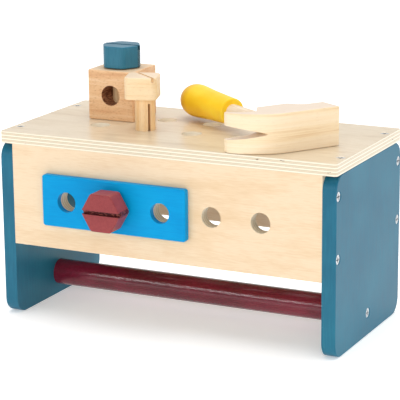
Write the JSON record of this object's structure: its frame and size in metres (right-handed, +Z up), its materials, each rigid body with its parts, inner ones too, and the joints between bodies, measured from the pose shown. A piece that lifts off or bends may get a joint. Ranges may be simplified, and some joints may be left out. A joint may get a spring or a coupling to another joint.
{
  "type": "toy workbench",
  "caption": "Wooden toy workbench with a drilled top and boards, push-in bolts, a drilled strip, a drilled cube and a claw hammer; turned over it is a carry box.",
  "frame": {"origin": "on the floor, below the centre of the whole toy's outline seen from above", "axes": "+X to the right along the bench seen from its front, +Y from front to back, +Z up"},
  "size_m": [0.27, 0.152, 0.198],
  "materials": {
    "birch_ply": "light birch plywood with a thin clear lacquer, plies showing on the edges",
    "petrol_paint": "plywood with thin satin petrol-blue paint",
    "burgundy_paint": "dowel with glossy burgundy paint",
    "sky_paint": "plywood strip with satin sky-blue paint",
    "red_paint": "beech with satin brick-red paint",
    "teal_paint": "beech with satin teal paint",
    "beech": "sanded beech with a thin clear lacquer",
    "pale_beech": "sanded pale hardwood with a thin clear lacquer",
    "yellow_paint": "turned hardwood, the grip in glossy yellow paint and the neck bare",
    "zinc": "bright zinc plate"
  },
  "bodies": {
    "bench": {"top_board": "birch_ply", "left_side": "petrol_paint", "right_side": "petrol_paint", "front_board": "birch_ply", "back_board": "birch_ply", "carry_bar": "burgundy_paint", "top_screws": "zinc", "left_side_screws": "zinc", "right_side_screws": "zinc", "bar_screws": "zinc"},
    "red_bolt": {"red_bolt_shank": "pale_beech", "red_bolt_head": "red_paint"},
    "strip": {"perforated_strip": "sky_paint"},
    "natural_bolt": {"natural_bolt_shank": "pale_beech", "natural_bolt_head": "pale_beech"},
    "blue_bolt": {"blue_bolt_shank": "pale_beech", "blue_bolt_head": "teal_paint"},
    "cube": {"cube": "beech"},
    "hammer": {"hammer_head": "pale_beech", "hammer_handle": "yellow_paint"}
  },
  "joints": [
    {"name": "red_bolt_pull", "type": "slide", "parent": "bench", "child": "red_bolt", "axis": [0, -1, 0], "range_m": [0, 0.045]},
    {"name": "strip_turn", "type": "hinge", "parent": "red_bolt", "child": "strip", "pos_m": [-0.0376, -0.0548, 0.094], "axis": [0, -1, 0], "continuous": true},
    {"name": "natural_bolt_push", "type": "slide", "parent": "bench", "child": "natural_bolt", "axis": [0, 0, 1], "range_m": [-0.0238, 0.03]},
    {"name": "blue_bolt_pull", "type": "slide", "parent": "bench", "child": "blue_bolt", "axis": [0, 0, 1], "range_m": [0, 0.05]},
    {"name": "cube_turn", "type": "hinge", "parent": "blue_bolt", "child": "cube", "pos_m": [-0.0761, 0.032, 0.1613], "axis": [0, 0, 1], "continuous": true},
    {"name": "hammer_lift", "type": "slide", "parent": "bench", "child": "hammer", "axis": [0, 0, 1], "range_m": [0, 0.06]}
  ]
}
